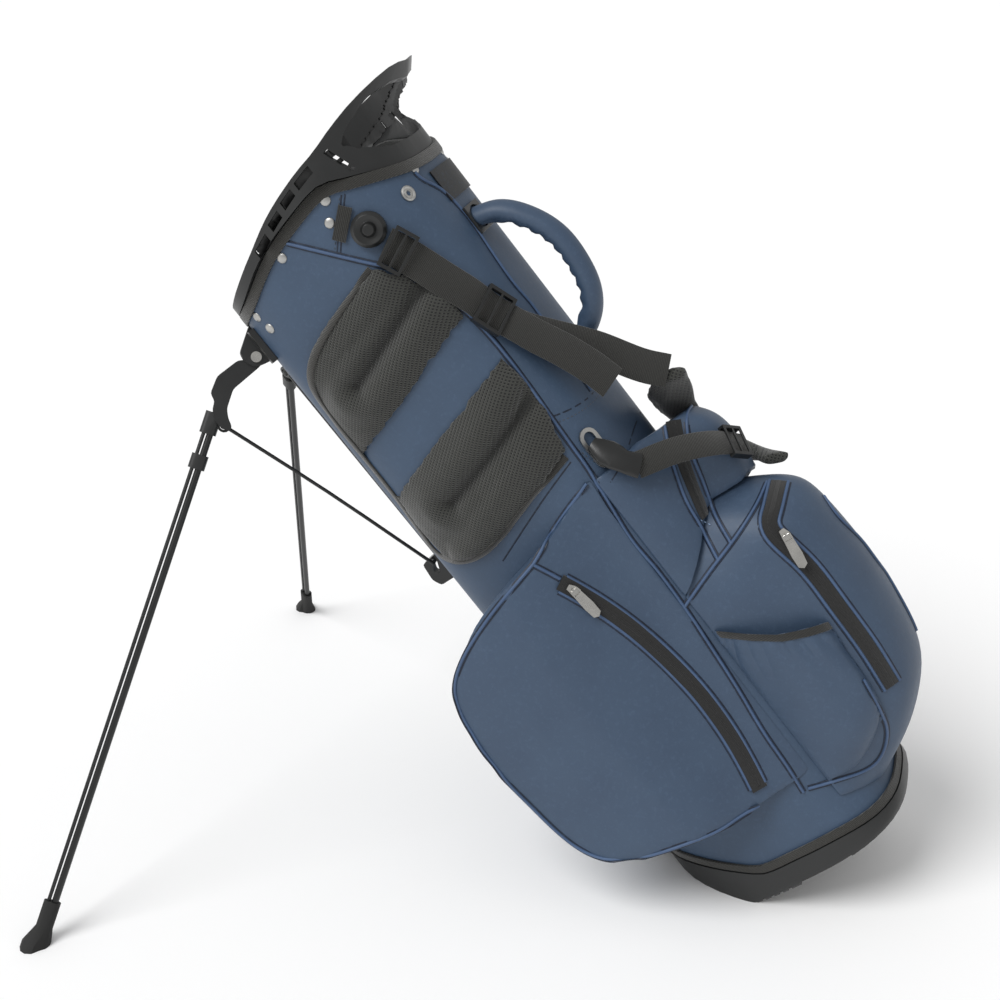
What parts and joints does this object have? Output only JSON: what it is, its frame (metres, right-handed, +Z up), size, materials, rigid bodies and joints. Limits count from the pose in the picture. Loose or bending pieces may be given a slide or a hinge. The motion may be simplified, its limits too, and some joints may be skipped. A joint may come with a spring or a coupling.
{
  "type": "golf stand bag",
  "caption": "Golf stand bag leaning on its splayed legs: leather tube, moulded cuff and base, club dividers, side, ball, bottle and valuables pockets, hip pads, carry handle, shoulder strap",
  "frame": {"origin": "centre of the flat strip that the open bag's base stands on, on the floor", "axes": "+Z up off the floor; -X the way the bag leans and the legs reach; -Y the side seen in the picture; the bag is close to mirror-symmetric about Y = 0"},
  "size_m": [0.8403, 0.7512, 0.824],
  "materials": {
    "navy_leather": "smooth blue synthetic leather, satin",
    "navy_shell": "smooth blue synthetic leather over a stiff tube, satin",
    "black_plastic": "black moulded plastic, lightly textured",
    "black_webbing": "black woven webbing and zip tape",
    "black_mesh": "black spacer mesh over foam",
    "black_metal": "black painted metal, semi gloss",
    "black_rubber": "black rubber, matt",
    "bright_metal": "bright nickel-plated metal"
  },
  "bodies": {
    "bag": {"body_shell": "navy_shell", "base_cup": "black_plastic", "base_binding": "black_webbing", "top_binding": "black_webbing", "top_cuff": "black_plastic", "cuff_liner": "black_mesh", "club_dividers": "black_plastic", "leg_bracket": "black_plastic", "rod_sleeve": "black_plastic", "base_pedal_pin": "black_metal", "near_leg_pin": "bright_metal", "near_stay": "black_metal", "near_apparel_pocket": "navy_leather", "near_apparel_zip": "black_webbing", "far_leg_pin": "bright_metal", "far_stay": "black_metal", "far_apparel_pocket": "navy_leather", "far_apparel_zip": "black_webbing", "ball_pocket": "navy_leather", "bottle_pocket": "navy_leather", "bottle_elastic": "black_webbing", "valuables_pocket": "navy_leather", "upper_hip_pad": "black_mesh", "lower_hip_pad": "black_mesh", "carry_handle": "navy_leather", "label_patch": "black_plastic", "strap_hub": "black_plastic", "strap_ladder": "black_plastic", "upper_adjuster": "black_plastic", "lower_adjuster": "black_plastic", "strap_grommet": "black_plastic", "lower_buckle": "black_plastic", "shoulder_pad": "black_mesh", "handle_ring": "black_plastic", "ball_zip": "black_webbing", "valuables_zip": "black_webbing", "upper_webbing": "black_webbing", "strap_stub": "black_webbing", "lower_webbing": "black_webbing"},
    "near_leg": {"near_leg_knuckle": "black_plastic", "near_leg_tube": "black_metal", "near_leg_rod": "black_metal", "near_leg_clip": "black_plastic", "near_leg_foot": "black_rubber"},
    "near_wire": {"near_brace_wire": "black_metal"},
    "near_zip_slider": {"near_apparel_slider": "bright_metal"},
    "near_zip_pull": {"near_apparel_pull": "bright_metal"},
    "far_leg": {"far_leg_knuckle": "black_plastic", "far_leg_tube": "black_metal", "far_leg_rod": "black_metal", "far_leg_clip": "black_plastic", "far_leg_foot": "black_rubber"},
    "far_wire": {"far_brace_wire": "black_metal"},
    "far_zip_slider": {"far_apparel_slider": "bright_metal"},
    "far_zip_pull": {"far_apparel_pull": "bright_metal"},
    "actuator": {"actuator_rod": "black_metal"},
    "pedal": {"base_pedal": "black_plastic"},
    "ball_zip_slider": {"ball_slider": "bright_metal"},
    "ball_zip_pull": {"ball_pull": "bright_metal"}
  },
  "joints": [
    {"name": "near_leg_fold", "type": "hinge", "parent": "bag", "child": "near_leg", "pos_m": [-0.54035, -0.056, 0.53256], "axis": [0.4319, -0.8284, 0.3568], "range_deg": [0, 57]},
    {"name": "near_wire_swing", "type": "hinge", "parent": "near_leg", "child": "near_wire", "pos_m": [-0.5686, -0.08167, 0.46512], "axis": [0.4319, -0.8284, 0.3568], "range_deg": [-71, 0]},
    {"name": "far_leg_fold", "type": "hinge", "parent": "bag", "child": "far_leg", "pos_m": [-0.54035, 0.056, 0.53256], "axis": [-0.4319, -0.8284, -0.3568], "range_deg": [0, 57]},
    {"name": "far_wire_swing", "type": "hinge", "parent": "far_leg", "child": "far_wire", "pos_m": [-0.5686, 0.08167, 0.46512], "axis": [-0.4319, -0.8284, -0.3568], "range_deg": [-71, 0]},
    {"name": "actuator_slide", "type": "slide", "parent": "bag", "child": "actuator", "axis": [0.6369, 0, -0.771], "range_m": [0, 0.054]},
    {"name": "near_apparel_zip_slide", "type": "hinge", "parent": "bag", "child": "near_zip_slider", "pos_m": [-0.35709, -0.36866, -0.00766], "axis": [-0.4306, 0.8296, -0.3554], "range_deg": [0, 33.9]},
    {"name": "near_apparel_zip_pull_lift", "type": "hinge", "parent": "near_zip_slider", "child": "near_zip_pull", "pos_m": [-0.1905, -0.13052, 0.35617], "axis": [-0.5724, -0.5555, -0.6031], "range_deg": [0, 100]},
    {"name": "far_apparel_zip_slide", "type": "hinge", "parent": "bag", "child": "far_zip_slider", "pos_m": [-0.35709, 0.36866, -0.00766], "axis": [0.4306, 0.8296, 0.3554], "range_deg": [0, 33.9]},
    {"name": "far_apparel_zip_pull_lift", "type": "hinge", "parent": "far_zip_slider", "child": "far_zip_pull", "pos_m": [-0.1905, 0.13052, 0.35617], "axis": [0.5724, -0.5555, 0.6031], "range_deg": [0, 100]},
    {"name": "ball_zip_slide", "type": "hinge", "parent": "bag", "child": "ball_zip_slider", "pos_m": [-0.3486, 0.24545, 0.00315], "axis": [0.3892, 0.8632, 0.3217], "range_deg": [0, 17.33]},
    {"name": "ball_zip_pull_lift", "type": "hinge", "parent": "ball_zip_slider", "child": "ball_zip_pull", "pos_m": [0.00013, -0.06589, 0.41012], "axis": [-0.8023, -0.347, -0.4856], "range_deg": [0, 100]},
    {"name": "pedal_tilt", "type": "hinge", "parent": "bag", "child": "pedal", "pos_m": [-0.01128, 0, 0.005], "axis": [0, -1, 0], "range_deg": [0, 36]}
  ],
  "couplings": [
    {"joint": "far_leg_fold", "follows": "near_leg_fold", "ratio": 1},
    {"joint": "near_wire_swing", "follows": "near_leg_fold", "ratio": -1.2298},
    {"joint": "far_wire_swing", "follows": "near_leg_fold", "ratio": -1.2298},
    {"joint": "actuator_slide", "follows": "near_leg_fold", "m_per_rad": 0.05303},
    {"joint": "pedal_tilt", "follows": "near_leg_fold", "ratio": 0.6316}
  ]
}
